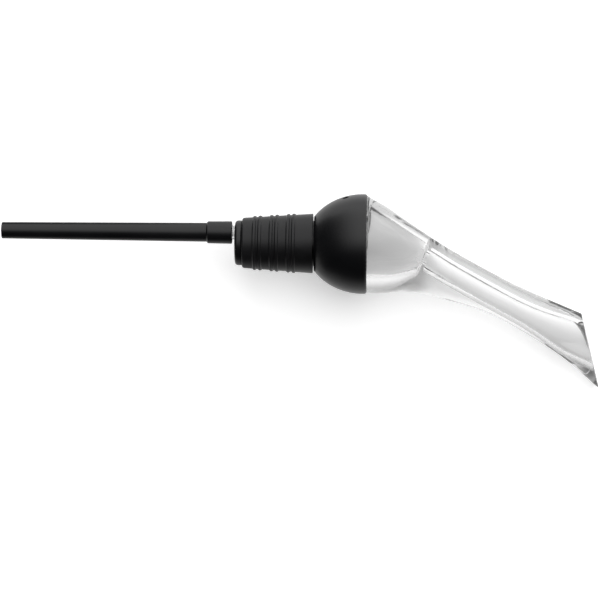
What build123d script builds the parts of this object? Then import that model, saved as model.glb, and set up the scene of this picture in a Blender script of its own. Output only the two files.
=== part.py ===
from build123d import *
import math
import os

# Wine aerator pourer: a black moulded dome with a hollow shank that plugs into a bottle, a ribbed
# silicone sleeve round the shank, a long breather tube that reaches back into the bottle, and a
# thick-walled clear head that drops away to an obliquely cut, flared spout.
#
# Everything is drawn along the bottle's axis: X runs from the breather tube to the spout and is
# zero in the plane of the dome's open rim, and Z points away from the spout's droop. At the end
# each piece is rolled about X to the way the pourer lies on a table. Lengths are millimetres.

# Dome, an ellipse turned about the axis and cut square at both ends
dome_radius = 17.8
dome_shoulder_radius = 9.7315
dome_setback = 1.4
dome_length = 18.9
dome_wall = 2.4
rim_round = 1.0
plenum_radius = 13.9
bulkhead_thickness = 3.0
air_hole_diameter = 2.3
air_hole_setback = 7.8

# Shank, the hollow stem under the sleeve, with a flange that keeps the sleeve on
shank_radius = 7.45
shank_bore_radius = 6.45
sleeve_seat_radius = 8.1
sleeve_seat_length = 0.5
flange_radius = 8.0
flange_length = 2.5
flange_front_round = 1.1
flange_back_round = 0.45
nose_plate_thickness = 2.0
inlet_radius = 5.6
pipe_boss_wall = 1.0

# Stopper sleeve, tapered, with ribs in pairs
sleeve_length = 25.2
sleeve_nose_radius = 8.95
sleeve_root_radius = 10.65
sleeve_nose_round = 0.8
rib_pair_count = 3
rib_pair_pitch = 6.0
rib_pitch = 1.95
rib_base_width = 1.45
rib_land_width = 0.7
rib_height = 0.4
first_rib_setback = 4.5

# Breather pipe, and the tube that pushes onto it
pipe_offset = 3.75
pipe_radius = 2.5
pipe_bore_radius = 1.6
pipe_plenum_end = 2.0
nose_gap = 1.1
socket_length = 8.6
socket_engagement = 8.2
collar_mouth_radius = 4.05
collar_root_radius = 3.95
collar_end_round = 0.4
collar_chamfer = 0.5
tube_root_radius = 3.4
tube_tip_radius = 2.95
tube_bore_radius = 1.8
tube_length = 73.3
tube_end_round = 0.3

# Mixing insert: a plate across the dome with a nozzle tube into the bulkhead
insert_plate_thickness = 1.5
nozzle_drop = 2.9
nozzle_radius = 2.95
nozzle_inlet_radius = 2.35
nozzle_throat_radius = 1.5
nozzle_outlet_radius = 2.4
nozzle_seat_depth = 2.2
throat_setback = 8.8
throat_length = 1.6
port_radius = 0.55
port_count = 4

# Seals
insert_seal_thickness = 0.8
insert_seal_width = 1.1
head_seal_thickness = 1.4
head_seal_setback = 1.75
groove_side_clearance = 0.1

# Clear head: bulb, cavity and spout
socket_radius = 15.2
socket_depth = 6.0
spigot_length = 3.4
head_base_radius = 17.4
head_reach = 80.25
head_droop = 38.7
waist_half_height = 8.0
waist_half_width = 6.0
mouth_half_height = 14.2
mouth_half_width = 6.9
cut_lean = 14.0
mouth_edge_round = 0.25
cavity_radius = 12.1
cavity_reach = 18.9
cavity_drop = 5.2
cavity_turn = 27.0
cavity_end_radius = 4.9
cavity_end_round = 1.8
orifice_radius = 1.9
orifice_boss_radius = 2.6
orifice_boss_length = 2.4
orifice_wall = 1.1
bore_radius = 3.2
bore_mouth_half_height = 8.4
bore_mouth_half_width = 4.9
bore_mouth_rise = 1.8

# Fits: pieces that stay together are close, those that pull apart run free
seat_clearance = 0.03
plug_clearance = 0.06
seal_clearance = 0.03
pipe_clearance = 0.04
overrun = 2.0

# Half length of the ellipse that falls from the dome's widest ring to its shoulder by the sleeve
dome_fall_share = math.sqrt(1 - (dome_shoulder_radius / dome_radius) ** 2)
dome_half_length = (dome_length - dome_setback) / dome_fall_share

# Where the pieces meet along the axis
sleeve_root_x = -(dome_length + sleeve_seat_length)
sleeve_nose_x = sleeve_root_x - sleeve_length
nose_x = sleeve_nose_x - flange_length
bulkhead_face_x = bulkhead_thickness - dome_length
plate_back_x = insert_seal_thickness - socket_depth
plate_front_x = plate_back_x + insert_plate_thickness
collar_end_x = nose_x - nose_gap
pipe_end_x = collar_end_x - socket_engagement
collar_root_x = collar_end_x - socket_length - collar_chamfer
tube_tip_x = collar_root_x - tube_length

# Outer form of the head, station by station from the rim to the cut: how far along, how far down,
# how much of the bulb is left, how much of the mouth's flare has come, and how far it leans
head_station_shares = [
    # reach, droop, bulb height, bulb width, flare height, flare width, lean
    (0.000, 0.003, 1.000, 1.000, 0.00, 0.00, 0.00),
    (0.036, 0.027, 0.907, 0.975, 0.00, 0.00, 0.02),
    (0.077, 0.048, 0.803, 0.925, 0.00, 0.00, 0.04),
    (0.158, 0.099, 0.537, 0.720, 0.00, 0.00, 0.05),
    (0.243, 0.168, 0.335, 0.440, 0.00, 0.00, 0.05),
    (0.367, 0.284, 0.149, 0.180, 0.00, 0.00, 0.13),
    (0.544, 0.446, 0.004, 0.030, 0.00, 0.00, 0.42),
    (0.649, 0.563, 0.000, 0.000, 0.08, 0.04, 0.70),
    (0.756, 0.684, 0.000, 0.000, 0.24, 0.22, 0.89),
    (0.853, 0.798, 0.000, 0.000, 0.47, 0.50, 0.98),
    (0.930, 0.902, 0.000, 0.000, 0.74, 0.78, 1.00),
    (1.000, 1.000, 0.000, 0.000, 1.00, 1.00, 1.00),
]

# Mixing cavity in the bulb, from the rim to its end: how far along, how far down, how much wider
# than its end, and how far it has turned down towards the spout
cavity_station_shares = [
    (0.00, 0.00, 1.00, 0.00),
    (0.25, 0.24, 0.76, 0.17),
    (0.50, 0.54, 0.48, 0.37),
    (0.76, 0.79, 0.22, 0.65),
    (1.00, 1.00, 0.00, 1.00),
]

# Spout bore: straight at first, then flaring with a growing rate to the mouth
bore_station_count = 9
bore_flare_start_share = 0.42
bore_flare_power_share = 2.6


def ring(start, length, inner, outer):
    """A half section that turns about X: from start along length, between two radii."""
    return Pos(start, inner) * Rectangle(length, outer - inner, align=(Align.MIN, Align.MIN))


def turned(section):
    return revolve(section, Axis.X)


def along(x, y=0, z=0):
    """A plane across the axis at x, seen from the breather tube's side."""
    return Plane(origin=(x, y, z), x_dir=(0, 1, 0), z_dir=(1, 0, 0))


def rod(start, length, radius, height=0):
    """A round bar along X."""
    return extrude(along(start, 0, height) * Circle(radius), length)


def circle_edges(shape, x, radius, slack):
    """The circular edges of a turned shape near one place along the axis."""
    found = []
    for edge in shape.edges().filter_by(GeomType.CIRCLE):
        centre = edge.arc_center
        if abs(centre.X - x) < slack and abs(edge.radius - radius) < slack:
            found.append(edge)
    return found


def make_dome_body():
    """Dome, bulkhead, shank and flange: one black moulding, open at the rim and at the nose."""
    outer = Pos(-dome_setback, 0) * Ellipse(dome_half_length, dome_radius)
    outer = outer & ring(-dome_length, dome_length, 0, dome_radius)
    seat_radius = min(sleeve_seat_radius, dome_shoulder_radius)
    outer += ring(sleeve_root_x, sleeve_seat_length + dome_wall, 0, seat_radius)
    outer += ring(sleeve_nose_x, sleeve_length + dome_wall, 0, shank_radius)
    outer += ring(nose_x, flange_length, 0, flange_radius)
    hollow = Pos(-dome_setback, 0) * Ellipse(dome_half_length - dome_wall, dome_radius - dome_wall)
    hollow = hollow & ring(bulkhead_face_x, -bulkhead_face_x - socket_depth, 0, plenum_radius)
    hollow += ring(-socket_depth, socket_depth, 0, socket_radius)
    shank_start = nose_x + nose_plate_thickness
    hollow += ring(shank_start, -dome_length - shank_start, 0, shank_bore_radius)
    body = turned(outer - hollow)
    rim_radius = dome_radius * math.sqrt(1 - (dome_setback / dome_half_length) ** 2)
    body = fillet(circle_edges(body, 0, rim_radius, rim_round / 2), rim_round)
    front = circle_edges(body, nose_x, flange_radius, flange_back_round)
    body = fillet(front, flange_front_round)
    back = circle_edges(body, sleeve_nose_x, flange_radius, flange_back_round / 2)
    body = fillet(back, flange_back_round)

    # the wine comes in round the pipe's boss in the nose plate, the pipe passes both walls, and the
    # nozzle sits in its own port in the bulkhead
    pipe_hole_radius = pipe_radius + seat_clearance
    inlet = Circle(inlet_radius) - Pos(0, pipe_offset) * Circle(pipe_hole_radius + pipe_boss_wall)
    through_nose = nose_plate_thickness + 2 * overrun
    body -= extrude(along(nose_x - overrun) * inlet, through_nose)
    body -= rod(nose_x - overrun, through_nose, pipe_hole_radius, pipe_offset)
    through_bulkhead = bulkhead_thickness + 2 * overrun
    body -= rod(-dome_length - overrun, through_bulkhead, pipe_hole_radius, pipe_offset)
    port_centre = -nozzle_drop
    body -= rod(-dome_length - overrun, through_bulkhead, nozzle_radius + seat_clearance, port_centre)

    # two air holes, opposite each other, straight through the dome's wall into the plenum
    drill = Cylinder(air_hole_diameter / 2, 2 * (dome_radius + overrun))
    return body - Pos(-air_hole_setback, 0, 0) * drill


def rib_section(centre, foot_radius):
    """One rib of the sleeve: a small bump with sloping sides and a flat land."""
    half_base, half_land = rib_base_width / 2, rib_land_width / 2
    return Pos(centre, foot_radius) * make_face(
        Polyline(
            (-half_base, -rib_height),
            (-half_base, 0),
            (-half_land, rib_height),
            (half_land, rib_height),
            (half_base, 0),
            (half_base, -rib_height),
            close=True,
        )
    )


def make_stopper_sleeve():
    """Tapered silicone sleeve with paired ribs, stretched over the flange onto the shank."""
    bore = shank_radius + seat_clearance
    section = make_face(
        Polyline(
            (sleeve_nose_x, bore),
            (sleeve_nose_x, sleeve_nose_radius),
            (sleeve_root_x, sleeve_root_radius),
            (sleeve_root_x, bore),
            close=True,
        )
    )
    slope = (sleeve_root_radius - sleeve_nose_radius) / sleeve_length
    for pair in range(rib_pair_count):
        for turn in range(2):
            setback = first_rib_setback + pair * rib_pair_pitch + turn * rib_pitch
            section += rib_section(sleeve_nose_x + setback, sleeve_nose_radius + slope * setback)
    sleeve = turned(section)
    nose_edges = circle_edges(sleeve, sleeve_nose_x, sleeve_nose_radius, sleeve_nose_round / 2)
    return fillet(nose_edges, sleeve_nose_round)


def make_breather_pipe():
    """Clear pipe from the plenum through the shank, standing out at the nose for the tube."""
    start, end = pipe_end_x, bulkhead_face_x + pipe_plenum_end
    return rod(start, end - start, pipe_radius, pipe_offset) - rod(
        start - overrun, end - start + 2 * overrun, pipe_bore_radius, pipe_offset
    )


def make_breather_tube():
    """Long black tube with moulding draft, widening to a collar whose socket takes the pipe."""
    outline = make_face(
        Polyline(
            (tube_tip_x, 0),
            (tube_tip_x, tube_tip_radius),
            (collar_root_x, tube_root_radius),
            (collar_root_x + collar_chamfer, collar_root_radius),
            (collar_end_x, collar_mouth_radius),
            (collar_end_x, 0),
            close=True,
        )
    )
    tube = turned(outline)
    collar_edge = circle_edges(tube, collar_end_x, collar_mouth_radius, collar_end_round / 2)
    tube = fillet(collar_edge, collar_end_round)
    tip_edge = circle_edges(tube, tube_tip_x, tube_tip_radius, tube_end_round / 2)
    tube = fillet(tip_edge, tube_end_round)
    tube -= rod(tube_tip_x - overrun, collar_end_x - tube_tip_x + 2 * overrun, tube_bore_radius)
    tube -= rod(collar_end_x - socket_length, socket_length + overrun, pipe_radius + pipe_clearance)
    return Pos(0, 0, pipe_offset) * tube


def make_mixing_insert():
    """Clear plate across the dome, with a nozzle whose throat draws air in from the plenum."""
    plate = rod(plate_back_x, insert_plate_thickness, socket_radius - seat_clearance)
    nozzle_start = bulkhead_face_x - nozzle_seat_depth
    nozzle = rod(nozzle_start, plate_back_x - nozzle_start, nozzle_radius, -nozzle_drop)
    throat_start = -throat_setback - throat_length / 2
    throat_end = throat_start + throat_length
    bore = turned(
        make_face(
            Polyline(
                (nozzle_start - overrun, 0),
                (nozzle_start - overrun, nozzle_inlet_radius),
                (nozzle_start, nozzle_inlet_radius),
                (throat_start, nozzle_throat_radius),
                (throat_end, nozzle_throat_radius),
                (plate_front_x, nozzle_outlet_radius),
                (plate_front_x + overrun, nozzle_outlet_radius),
                (plate_front_x + overrun, 0),
                close=True,
            )
        )
    )
    insert = plate + nozzle - Pos(0, 0, -nozzle_drop) * bore
    port = Pos(-throat_setback, 0, -nozzle_drop) * Cylinder(
        port_radius, nozzle_radius + overrun, align=(Align.CENTER, Align.CENTER, Align.MIN)
    )
    for turn in range(port_count):
        centre = Axis((0, 0, -nozzle_drop), (1, 0, 0))
        insert -= port.rotate(centre, turn * 360 / port_count)
    return insert


def make_insert_seal():
    """Flat silicone ring between the dome's step and the insert's plate."""
    outer = socket_radius - seat_clearance
    return turned(ring(-socket_depth, insert_seal_thickness, outer - insert_seal_width, outer))


def make_head_seal():
    """O-ring in the head's groove, which grips the dome's socket."""
    middle = socket_radius - seal_clearance - head_seal_thickness / 2
    return turned(Pos(-head_seal_setback, middle) * Circle(head_seal_thickness / 2))


def tall_ellipse(centre, normal, half_height, half_width):
    """An ellipse across the droop plane, its long axis up, so that lofts don't twist."""
    normal = normal.normalized()
    up = Vector(-normal.Z, 0, normal.X)
    return Plane(origin=centre, x_dir=up, z_dir=normal) * Ellipse(half_height, half_width)


def leaning(angle):
    """The normal of a plane that leans forward at its top by an angle in degrees."""
    return Vector(math.cos(math.radians(angle)), 0, math.sin(math.radians(angle)))


def head_section(row):
    """One ellipse across the head, leaning with the spout."""
    reach, droop, bulb_high, bulb_wide, flare_high, flare_wide, lean = row
    high = waist_half_height
    high += bulb_high * (head_base_radius - waist_half_height)
    high += flare_high * (mouth_half_height - waist_half_height)
    wide = waist_half_width
    wide += bulb_wide * (head_base_radius - waist_half_width)
    wide += flare_wide * (mouth_half_width - waist_half_width)
    centre = Vector(reach * head_reach, 0, -droop * head_droop)
    return tall_ellipse(centre, leaning(lean * cut_lean), high, wide)


def cavity_end():
    """The plane of the cavity's end wall, square to the way the cavity has turned."""
    centre = Vector(cavity_reach, 0, -cavity_drop)
    return Plane(origin=centre, x_dir=(0, 1, 0), z_dir=leaning(-cavity_turn))


def make_cavity():
    """Mixing chamber: a round cone that bends down with the head to a flat end with round corners.

    A short boss round the orifice stands back into it.
    """
    sections = []
    for reach, drop, bulge, turn in cavity_station_shares:
        centre = Vector(reach * cavity_reach, 0, -drop * cavity_drop)
        radius = cavity_end_radius + bulge * (cavity_radius - cavity_end_radius)
        sections.append(tall_ellipse(centre, leaning(-turn * cavity_turn), radius, radius))
    chamber = loft(sections)
    end = cavity_end()
    slack = cavity_end_round / 2
    end_edges = [e for e in chamber.edges() if abs(end.to_local_coords(e.center()).Z) < slack]
    chamber = fillet(end_edges, cavity_end_round)
    chamber -= extrude(end.offset(overrun) * Circle(orifice_boss_radius), -orifice_boss_length - overrun)
    return chamber + rod(-spigot_length - overrun, spigot_length + overrun, cavity_radius)


def bore_line():
    """Start and end of the spout's bore, and its direction."""
    start = cavity_end().offset(orifice_wall).origin
    normal = leaning(cut_lean)
    up_the_cut = Vector(-normal.Z, 0, normal.X)
    end = Vector(head_reach, 0, -head_droop) + up_the_cut * bore_mouth_rise
    return start, end, (end - start).normalized()


def make_bore():
    """Orifice out of the cavity, then the bore, which flares to the oblique mouth."""
    bore_start, end, way = bore_line()
    orifice = extrude(
        cavity_end().offset(-orifice_boss_length - overrun) * Circle(orifice_radius),
        orifice_boss_length + orifice_wall + overrun + bore_radius / 2,
    )
    run = end - bore_start
    sections = []
    for step in range(bore_station_count + 1):
        # the last section stands a little past the cut, so that the mouth opens cleanly
        past_cut = step == bore_station_count
        reach = 1 + overrun / run.length if past_cut else step / (bore_station_count - 1)
        opened = max(0, reach - bore_flare_start_share) / (1 - bore_flare_start_share)
        flare = opened**bore_flare_power_share
        high = bore_radius + flare * (bore_mouth_half_height - bore_radius)
        wide = bore_radius + flare * (bore_mouth_half_width - bore_radius)
        turn = min(flare, 1)
        normal = way * (1 - turn) + leaning(cut_lean) * turn
        sections.append(tall_ellipse(bore_start + run * reach, normal, high, wide))
    return orifice + loft(sections)


def make_spout_head():
    """Thick clear head: bulb and spout in one moulding, with cavity, bore, spigot and groove."""
    head = loft([head_section(row) for row in head_station_shares])
    spigot_radius = socket_radius - plug_clearance
    head += rod(-spigot_length, spigot_length, spigot_radius)
    head -= make_cavity()
    head -= make_bore()
    on_cut = Plane(origin=(head_reach, 0, -head_droop), z_dir=leaning(cut_lean))
    slack = mouth_edge_round / 2
    mouth_edges = [e for e in head.edges() if abs(on_cut.to_local_coords(e.center()).Z) < slack]
    head = fillet(mouth_edges, mouth_edge_round)
    groove_width = head_seal_thickness + 2 * groove_side_clearance
    groove_floor = socket_radius - seal_clearance - head_seal_thickness
    groove_start = -head_seal_setback - groove_width / 2
    return head - turned(ring(groove_start, groove_width, groove_floor, socket_radius + overrun))


def rest_roll():
    """Roll at which the lip's ellipse and the dome's widest ring stand on the same table."""
    low, high = 0.0, math.pi / 4
    lean = math.radians(cut_lean)
    # the rounded edge gives up about a quarter of its radius where the lip touches
    lowest = dome_radius + mouth_edge_round / 4
    for step in range(60):
        roll = (low + high) / 2
        tall = mouth_half_height * math.cos(lean) * math.sin(roll)
        wide = mouth_half_width * math.cos(roll)
        if head_droop * math.sin(roll) + math.hypot(tall, wide) > lowest:
            high = roll
        else:
            low = roll
    return math.degrees(low)


pieces = {
    "dome_body": make_dome_body(),
    "stopper_sleeve": make_stopper_sleeve(),
    "breather_pipe": make_breather_pipe(),
    "breather_tube": make_breather_tube(),
    "mixing_insert": make_mixing_insert(),
    "insert_seal": make_insert_seal(),
    "head_seal": make_head_seal(),
    "spout_head": make_spout_head(),
}

# Lay the pourer down: roll it until the lip touches the table, then put the origin on the table
# under the middle of the whole.
roll = rest_roll()
quarter_turn = 90
rolled = {name: Rot(roll - quarter_turn, 0, 0) * shape for name, shape in pieces.items()}
box = Compound(list(rolled.values())).bounding_box()
rim_centre = Vector(-(box.min.X + box.max.X) / 2, -(box.min.Y + box.max.Y) / 2, -box.min.Z)
to_table = Pos(rim_centre)

os.makedirs("parts", exist_ok=True)
for name, shape in rolled.items():
    export_step(to_table * shape, f"parts/{name}.step")
print(f"{len(rolled)} pieces, roll {roll:.3f} degrees, rim centre {rim_centre}, size {box.size}")
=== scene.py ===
import math

import bpy
from mathutils import Matrix, Vector


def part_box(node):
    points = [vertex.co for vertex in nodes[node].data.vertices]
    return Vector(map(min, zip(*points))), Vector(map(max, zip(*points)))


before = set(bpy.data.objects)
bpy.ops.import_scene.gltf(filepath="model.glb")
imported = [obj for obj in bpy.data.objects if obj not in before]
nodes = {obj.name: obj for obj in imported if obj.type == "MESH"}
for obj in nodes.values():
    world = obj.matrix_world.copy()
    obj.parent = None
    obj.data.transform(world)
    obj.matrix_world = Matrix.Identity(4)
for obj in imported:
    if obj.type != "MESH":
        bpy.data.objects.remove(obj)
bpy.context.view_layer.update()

# Dome body: one injection moulding in black plastic, dome, bulkhead, hollow shank and flange. The
# tool's outside is lightly spark-eroded, so the surface is an even satin with a very fine grain.
mm = 0.001


def feed(tree, value, socket):
    """Links a node's output to a socket, or sets a plain number on it."""
    if isinstance(value, bpy.types.NodeSocket):
        tree.links.new(value, socket)
    else:
        socket.default_value = value


def calculate(tree, operation, *values):
    """The result of one Math node on outputs or plain numbers."""
    node = tree.nodes.new("ShaderNodeMath")
    node.operation = operation
    for value, socket in zip(values, node.inputs):
        feed(tree, value, socket)
    return node.outputs["Value"]


def new_group(name, inputs, outputs):
    """A shader node group with named sockets: (name, default) going in, names coming out."""
    group = bpy.data.node_groups.new(name, "ShaderNodeTree")
    for label, default in inputs:
        socket = group.interface.new_socket(name=label, in_out="INPUT", socket_type="NodeSocketFloat")
        socket.default_value = default
    for label in outputs:
        group.interface.new_socket(name=label, in_out="OUTPUT", socket_type="NodeSocketFloat")
    return group, group.nodes.new("NodeGroupInput").outputs, group.nodes.new("NodeGroupOutput").inputs


def make_grain_group():
    """Moulding grain: a fine pebble, a slow variation of gloss from flow in the tool, and height."""
    group, given, result = new_group(
        "moulding_grain",
        [("Grain Size", 0.4), ("Flow Size", 14.0), ("Gloss", 0.4), ("Gloss Spread", 0.1)],
        ["Roughness", "Height", "Flow"],
    )
    place = group.nodes.new("ShaderNodeTexCoord")

    def noise_in_millimetres(size, detail):
        """Noise whose cells are as many millimetres as the size says."""
        noise = group.nodes.new("ShaderNodeTexNoise")
        noise.inputs["Detail"].default_value = detail
        group.links.new(place.outputs["Object"], noise.inputs["Vector"])
        group.links.new(calculate(group, "DIVIDE", 1 / mm, size), noise.inputs["Scale"])
        return noise.outputs["Fac"]

    grain = noise_in_millimetres(given["Grain Size"], detail=2.0)
    flow = noise_in_millimetres(given["Flow Size"], detail=3.0)
    sum_of_means = 1.0
    centred = calculate(group, "SUBTRACT", calculate(group, "ADD", grain, flow), sum_of_means)
    gloss = calculate(group, "MULTIPLY_ADD", centred, given["Gloss Spread"], given["Gloss"])
    group.links.new(gloss, result["Roughness"])
    group.links.new(grain, result["Height"])
    group.links.new(flow, result["Flow"])
    return group


def two_tone(tree, value, low, high, first, second):
    """A colour that goes from the first to the second while its input goes from low to high."""
    ramp = tree.nodes.new("ShaderNodeValToRGB")
    for mark, place, colour in zip(ramp.color_ramp.elements, (low, high), (first, second)):
        mark.position = place
        mark.color = (*colour, 1)
    tree.links.new(value, ramp.inputs["Fac"])
    return ramp.outputs["Color"]


grain_group = make_grain_group()
grain_strength = 0.5


def grained_material(name, dark, light, grain, depth, specular):
    """A solid material with the moulding grain: two close colours, gloss and a shallow bump."""
    material = bpy.data.materials.new(name)
    material.use_nodes = True
    tree = material.node_tree
    surface = tree.nodes["Principled BSDF"]
    surface.inputs["Specular IOR Level"].default_value = specular
    texture = tree.nodes.new("ShaderNodeGroup")
    texture.node_tree = grain_group
    for label, value in grain.items():
        texture.inputs[label].default_value = value
    colour = two_tone(tree, texture.outputs["Flow"], low=0.35, high=0.65, first=dark, second=light)
    tree.links.new(colour, surface.inputs["Base Color"])
    tree.links.new(texture.outputs["Roughness"], surface.inputs["Roughness"])
    bump = tree.nodes.new("ShaderNodeBump")
    bump.inputs["Distance"].default_value = depth
    bump.inputs["Strength"].default_value = grain_strength
    tree.links.new(texture.outputs["Height"], bump.inputs["Height"])
    tree.links.new(bump.outputs["Normal"], surface.inputs["Normal"])
    return material


def dress(node, material):
    """Gives a CAD node its material in place of the plain one."""
    piece = nodes[node]
    piece.data.materials.clear()
    piece.data.materials.append(material)


black_plastic = grained_material(
    "black_moulded_plastic",
    dark=(0.0024, 0.0024, 0.0028),
    light=(0.0040, 0.0040, 0.0045),
    grain={"Grain Size": 0.35, "Flow Size": 16.0, "Gloss": 0.34, "Gloss Spread": 0.10},
    depth=0.006 * mm,
    specular=0.32,
)
dress("dome_body", black_plastic)

# Breather tube: a long tube with its collar, moulded in one in the same black plastic as the dome
# and from a tool with the same grain. Its collar pushes onto the clear pipe.
dress("breather_tube", black_plastic)

# Stopper sleeve: soft black silicone, compression moulded with its ribs, stretched over the flange.
# Silicone is duller than the plastic, with a slightly dusty bloom.
black_silicone = grained_material(
    "black_silicone",
    dark=(0.0036, 0.0036, 0.0040),
    light=(0.0060, 0.0060, 0.0065),
    grain={"Grain Size": 0.22, "Flow Size": 5.0, "Gloss": 0.40, "Gloss Spread": 0.12},
    depth=0.010 * mm,
    specular=0.26,
)
dress("stopper_sleeve", black_silicone)

# Seals: two moulded rings of pale grey silicone. The flat one lies between the dome's step and the
# insert, and the round one sits in the head's groove and holds the head in the dome.
seal_silicone = grained_material(
    "seal_silicone",
    dark=(0.50, 0.51, 0.51),
    light=(0.60, 0.61, 0.61),
    grain={"Grain Size": 0.3, "Flow Size": 4.0, "Gloss": 0.35, "Gloss Spread": 0.08},
    depth=0.004 * mm,
    specular=0.5,
)
dress("insert_seal", seal_silicone)
dress("head_seal", seal_silicone)

# Clear pieces: breather pipe, mixing insert and spout head, all in clear acrylic from polished
# tools. The head is thick, with a bore of its own inside, so it bends what is seen through it, and
# it ends in a slanting cut.
dome_low, dome_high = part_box("dome_body")
pipe_low, pipe_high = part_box("breather_pipe")
rim_centre = Vector((dome_high.x, (dome_low.y + dome_high.y) / 2, (dome_low.z + dome_high.z) / 2))
pipe_centre = (pipe_low + pipe_high) / 2
# the pipe stands off the bottle's axis, away from the spout's droop, and so gives the roll
up_axis = Vector((0, pipe_centre.y - rim_centre.y, pipe_centre.z - rim_centre.z)).normalized()
cut_lean = math.radians(14.0)
cut_reach = 80.25 * mm
cut_droop = 38.7 * mm
cut_way = Vector((1, 0, 0)) * math.cos(cut_lean) + up_axis * math.sin(cut_lean)
cut_centre = rim_centre + Vector((cut_reach, 0, 0)) - up_axis * cut_droop
cut_place = cut_centre.dot(cut_way)
acrylic_index = 1.49
acrylic_tints = 0.970225, 0.985
flow_mark_size = 6.0 * mm
pane_facing = 0.72
pane_slanting = 0.04


def change(tree, value, start, end, before, after, easing="SMOOTHSTEP"):
    """A level that goes from before to after while the value goes from start to end."""
    node = tree.nodes.new("ShaderNodeMapRange")
    node.interpolation_type = easing
    feed(tree, value, node.inputs["Value"])
    node.inputs["From Min"].default_value = start
    node.inputs["From Max"].default_value = end
    node.inputs["To Min"].default_value = before
    node.inputs["To Max"].default_value = after
    return node.outputs["Result"]


def white_glow(tree, strength):
    """An emission shader of the strength that an output gives."""
    emission = tree.nodes.new("ShaderNodeEmission")
    tree.links.new(strength, emission.inputs["Strength"])
    return emission.outputs["Emission"]


def either_shader(tree, choice, first, second):
    """The first shader where the choice is 0, and the second where it is 1."""
    mix = tree.nodes.new("ShaderNodeMixShader")
    tree.links.new(choice, mix.inputs["Fac"])
    tree.links.new(first, mix.inputs[1])
    tree.links.new(second, mix.inputs[2])
    return mix.outputs["Shader"]


clear_acrylic = bpy.data.materials.new("clear_acrylic")
clear_acrylic.use_nodes = True
clear_acrylic.cycles.emission_sampling = "NONE"
clear_tree = clear_acrylic.node_tree
clear_rays = clear_tree.nodes.new("ShaderNodeLightPath").outputs
clear_place = clear_tree.nodes.new("ShaderNodeTexCoord").outputs["Object"]
clear_surface = clear_tree.nodes["Principled BSDF"]
clear_surface.inputs["Transmission Weight"].default_value = 1.0
clear_surface.inputs["IOR"].default_value = acrylic_index
clear_surface.inputs["Roughness"].default_value = 0.0
flow_marks = clear_tree.nodes.new("ShaderNodeTexNoise")
flow_marks.inputs["Scale"].default_value = 1 / flow_mark_size
flow_marks.inputs["Detail"].default_value = 1.0
clear_tree.links.new(clear_place, flow_marks.inputs["Vector"])
clear_colour = two_tone(
    clear_tree, flow_marks.outputs["Fac"],
    low=0.0, high=1.0, first=3 * [acrylic_tints[0]], second=3 * [acrylic_tints[1]],
)
clear_tree.links.new(clear_colour, clear_surface.inputs["Base Color"])

# Lamps shine through on to what is behind: a shadow ray passes as if through a tinted pane, which
# takes more light where the wall stands at a slant.
slant = clear_tree.nodes.new("ShaderNodeLayerWeight")
slant.inputs["Blend"].default_value = 0.5
pane = clear_tree.nodes.new("ShaderNodeBsdfTransparent")
pane_tint = two_tone(
    clear_tree, slant.outputs["Facing"],
    low=0.0, high=1.0, first=3 * [pane_facing], second=3 * [pane_slanting],
)
clear_tree.links.new(pane_tint, pane.inputs["Color"])

# Past a few bounces inside the wall a ray ends in a painted pale glow, standing in for light that goes
# round and round inside it, and near the slanting cut in a painted dark line, where the painted glow starts
# after fewer bounces.
along_head = clear_tree.nodes.new("ShaderNodeVectorMath")
along_head.operation = "DOT_PRODUCT"
along_head.inputs[1].default_value = cut_way
clear_tree.links.new(clear_place, along_head.inputs[0])
painted_haze_level = change(
    clear_tree, along_head.outputs["Value"],
    start=cut_place - 2.6 * mm, end=cut_place - 0.8 * mm, before=0.60, after=0.06,
)
bounces_before_painted_haze = change(
    clear_tree, along_head.outputs["Value"],
    start=cut_place - 2.2 * mm, end=cut_place - 1.8 * mm, before=4.5, after=2.5, easing="LINEAR",
)
painted_haze_rays = calculate(clear_tree, "GREATER_THAN", clear_rays["Ray Depth"], bounces_before_painted_haze)
clear_body = either_shader(
    clear_tree, painted_haze_rays, clear_surface.outputs["BSDF"], white_glow(clear_tree, painted_haze_level)
)
clear_shader = either_shader(clear_tree, clear_rays["Is Shadow Ray"], clear_body, pane.outputs["BSDF"])
clear_tree.links.new(clear_shader, clear_tree.nodes["Material Output"].inputs["Surface"])
dress("breather_pipe", clear_acrylic)
dress("mixing_insert", clear_acrylic)
dress("spout_head", clear_acrylic)

# Table: a seamless sweep of matt white paper, wide enough to fill every view. It is the stage that
# the pourer lies on, and it takes the pourer's soft shadow.
floor_reach = 3.0
bpy.ops.mesh.primitive_grid_add(x_subdivisions=4, y_subdivisions=4, size=2 * floor_reach)
floor = bpy.context.object
floor.name = "sweep"
paper_white = 0.95
painted_dark_level = 0.03
sweep_paper = bpy.data.materials.new("sweep_paper")
sweep_paper.use_nodes = True
paper_tree = sweep_paper.node_tree
paper_rays = paper_tree.nodes.new("ShaderNodeLightPath").outputs
paper_place = paper_tree.nodes.new("ShaderNodeTexCoord").outputs["Object"]
paper_split = paper_tree.nodes.new("ShaderNodeSeparateXYZ")
paper_tree.links.new(paper_place, paper_split.inputs["Vector"])
paper_x = paper_split.outputs["X"]
paper_y = paper_split.outputs["Y"]
paper = paper_tree.nodes["Principled BSDF"]
paper.inputs["Roughness"].default_value = 0.9
paper.inputs["Specular IOR Level"].default_value = 0.1


def blend(tree, share, first, second):
    """Goes over from the first level to the second as the share goes from 0 to 1."""
    node = tree.nodes.new("ShaderNodeMix")
    for value, label in ((share, "Factor"), (first, "A"), (second, "B")):
        feed(tree, value, node.inputs[label])
    return node.outputs["Result"]


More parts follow.
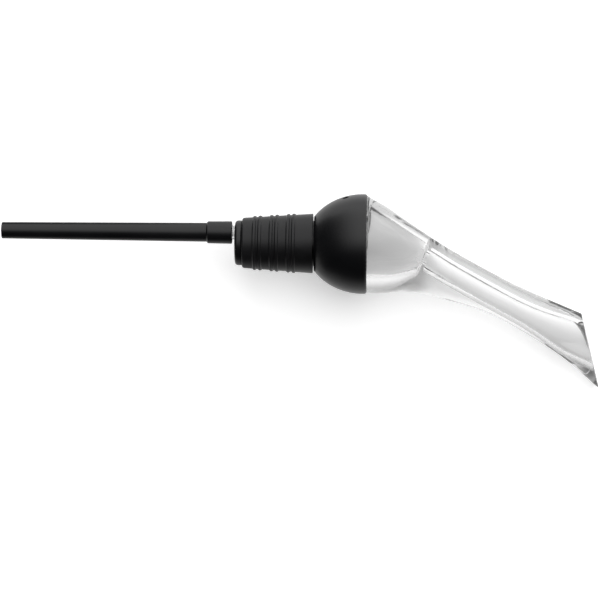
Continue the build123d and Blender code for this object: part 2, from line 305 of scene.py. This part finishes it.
# To the camera the paper glows a little, so that it is white wherever no shadow falls, and more
# the farther off it is, up to the plain white of the room behind it.
from_middle = paper_tree.nodes.new("ShaderNodeVectorMath")
from_middle.operation = "LENGTH"
paper_tree.links.new(paper_place, from_middle.inputs[0])
camera_glow = change(
    paper_tree, from_middle.outputs["Value"],
    start=300.0 * mm, end=1000.0 * mm, before=0.38, after=1.0, easing="LINEAR",
)

# Seen through the clear pieces it carries painted shade under the bulb, most of all on the far side, a
# painted glow under the bulb's near side, and painted dark past both sides, where the camera still sees
# white paper. That draws the thin dark lines of the bore.
past_bulb = change(
    paper_tree, paper_x, start=rim_centre.x + 14.0 * mm, end=rim_centre.x + 24.0 * mm, before=0.0, after=1.0
)
painted_bulb_shade = change(
    paper_tree, paper_y,
    start=-12.0 * mm, end=16.0 * mm, before=paper_white, after=0.58, easing="LINEAR",
)
painted_bulb_glow = change(
    paper_tree, paper_y, start=-2.0 * mm, end=12.0 * mm, before=0.20, after=0.0, easing="LINEAR"
)
painted_far_dark = change(
    paper_tree, paper_y, start=45.0 * mm, end=55.0 * mm, before=1.0, after=painted_dark_level
)
painted_near_dark = change(
    paper_tree, paper_y, start=-80.0 * mm, end=-70.0 * mm, before=painted_dark_level, after=1.0
)
painted_glass_paper = calculate(
    paper_tree, "MULTIPLY",
    blend(paper_tree, past_bulb, painted_bulb_shade, paper_white),
    calculate(paper_tree, "MULTIPLY", painted_far_dark, painted_near_dark),
)
painted_glass_glow = calculate(
    paper_tree, "MULTIPLY",
    blend(paper_tree, past_bulb, painted_bulb_glow, 0.0),
    paper_rays["Is Transmission Ray"],
)
paper_level = blend(paper_tree, paper_rays["Is Transmission Ray"], paper_white, painted_glass_paper)
paper_colour = paper_tree.nodes.new("ShaderNodeCombineColor")
for channel in ("Red", "Green", "Blue"):
    paper_tree.links.new(paper_level, paper_colour.inputs[channel])
paper_tree.links.new(paper_colour.outputs["Color"], paper.inputs["Base Color"])
paper_glow = blend(paper_tree, paper_rays["Is Camera Ray"], painted_glass_glow, camera_glow)
lit_paper = paper_tree.nodes.new("ShaderNodeAddShader")
paper_tree.links.new(paper.outputs["BSDF"], lit_paper.inputs[0])
paper_tree.links.new(white_glow(paper_tree, paper_glow), lit_paper.inputs[1])

# What the black pieces mirror of it is a painted reflection: reflection rays see a glow in place of the lit
# paper, bright on the far side and dull on the near side. Painted shade darkens a wedge to the left, but
# for a strip along the tube, and the near side of the sleeve's slim end. That keeps the dome's shoulder
# dark.
painted_reflection_side = change(
    paper_tree, paper_y,
    start=-200.0 * mm, end=300.0 * mm, before=0.15, after=2.0, easing="LINEAR",
)
from_axis = calculate(paper_tree, "ABSOLUTE", paper_y)
wedge_slope = 0.7
painted_wedge_shade = change(
    paper_tree, calculate(paper_tree, "MULTIPLY_ADD", from_axis, wedge_slope, paper_x),
    start=-15.0 * mm, end=5.0 * mm, before=0.08, after=1.0,
)
tube_strip = change(paper_tree, from_axis, start=35.0 * mm, end=45.0 * mm, before=1.0, after=0.0)
painted_wedge_but_tube = blend(paper_tree, tube_strip, painted_wedge_shade, 1.0)
painted_sleeve_shade = change(paper_tree, paper_y, start=12.0 * mm, end=30.0 * mm, before=0.12, after=1.0)
past_tube = change(paper_tree, paper_x, start=-35.0 * mm, end=-8.0 * mm, before=0.0, after=1.0)
past_flange = change(
    paper_tree, paper_x, start=dome_low.x + 2.0 * mm, end=dome_low.x + 12.0 * mm, before=0.0, after=1.0
)
painted_left_shade = blend(paper_tree, past_tube, painted_wedge_but_tube, painted_sleeve_shade)
painted_reflection_share = blend(paper_tree, past_flange, painted_left_shade, 1.0)
painted_reflection_glow = calculate(paper_tree, "MULTIPLY", painted_reflection_side, painted_reflection_share)
paper_shader = either_shader(
    paper_tree, paper_rays["Is Reflection Ray"],
    lit_paper.outputs["Shader"], white_glow(paper_tree, painted_reflection_glow),
)
paper_tree.links.new(paper_shader, paper_tree.nodes["Material Output"].inputs["Surface"])
floor.data.materials.append(sweep_paper)

# Lamp: one large soft box that leans in over the far side of the table. It lights the pieces and
# draws the shadow, and isn't itself seen, mirrored or looked at through the clear pieces.
soft_box = bpy.data.objects.new("soft_box", bpy.data.lights.new("soft_box", "AREA"))
bpy.context.scene.collection.objects.link(soft_box)
soft_box.data.shape = "RECTANGLE"
soft_box.data.size = 1.3
soft_box.data.size_y = 1.8
soft_box.data.energy = 17.0
soft_box.visible_camera = False
soft_box.visible_transmission = False
soft_box.visible_glossy = False
box_turn = math.radians(36)
box_distance = 1.1
box_ahead = 0.25
box_beyond = math.sin(box_turn) * box_distance
box_height = math.cos(box_turn) * box_distance
soft_box.location = Vector((box_ahead, box_beyond, box_height))
soft_box.rotation_euler = (-box_turn, 0, 0)

# Room: white to the camera, an even dim light to the pieces, and pale above a dark horizon in what
# is seen through the clear pieces.
world = bpy.data.worlds.new("studio")
bpy.context.scene.world = world
world.use_nodes = True
world_tree = world.node_tree
room_rays = world_tree.nodes.new("ShaderNodeLightPath").outputs
room_place = world_tree.nodes.new("ShaderNodeTexCoord").outputs["Generated"]
room_split = world_tree.nodes.new("ShaderNodeSeparateXYZ")
world_tree.links.new(room_place, room_split.inputs["Vector"])
way_right, way_beyond, way_up = (room_split.outputs[axis] for axis in "XYZ")

# the black pieces mirror it as a soft panel on the far side, which ends towards the tube
panel = change(world_tree, way_beyond, start=-0.40, end=0.32, before=0.02, after=2.1)
panel_end = change(world_tree, way_right, start=-0.85, end=-0.1, before=0.0, after=1.0)
mirrored_room = calculate(world_tree, "MULTIPLY", panel, panel_end)
far_wall = change(world_tree, way_up, start=0.1, end=0.3, before=0.05, after=0.85)
near_wall = change(world_tree, way_up, start=0.05, end=0.15, before=0.05, after=0.55)
to_far_wall = change(world_tree, way_beyond, start=-0.1, end=0.3, before=0.0, after=1.0)
glass_room = blend(world_tree, to_far_wall, near_wall, far_wall)
room = blend(world_tree, room_rays["Is Transmission Ray"], mirrored_room, glass_room)
room = blend(world_tree, room_rays["Is Diffuse Ray"], room, 0.28)
room = blend(world_tree, room_rays["Is Camera Ray"], room, 1.0)
background = world_tree.nodes["Background"]
background.inputs["Color"].default_value = (1, 1, 1, 1)
world_tree.links.new(room, background.inputs["Strength"])

# Camera: a long lens high over the table, which looks nearly straight down from a little to the
# spout's side, and is turned by a hair, so that the tube's end stands a little higher.
picture_width = 600
pixels_per_metre = 2.806 / mm
picture_middle = Vector((-0.21 * mm, -3.775 * mm, rim_centre.z))
lens_length = 180.0
sensor_width = 36.0
camera_height = picture_width / pixels_per_metre * lens_length / sensor_width
camera_ahead = 38.0 * mm
camera_turn = math.radians(0.62)
camera = bpy.data.objects.new("camera", bpy.data.cameras.new("camera"))
bpy.context.scene.collection.objects.link(camera)
camera.data.lens = lens_length
camera.data.sensor_width = sensor_width
camera.data.clip_start = 0.01
camera.data.clip_end = 20.0
camera.location = picture_middle + Vector((camera_ahead, 0, camera_height))
back = (camera.location - picture_middle).normalized()
right = Vector((math.cos(camera_turn), math.sin(camera_turn), 0))
right = (right - back * right.dot(back)).normalized()
top = back.cross(right)
camera.rotation_mode = "QUATERNION"
camera.rotation_quaternion = Matrix((right, top, back)).transposed().to_quaternion()
bpy.context.scene.camera = camera
bpy.context.scene.view_settings.view_transform = "Standard"
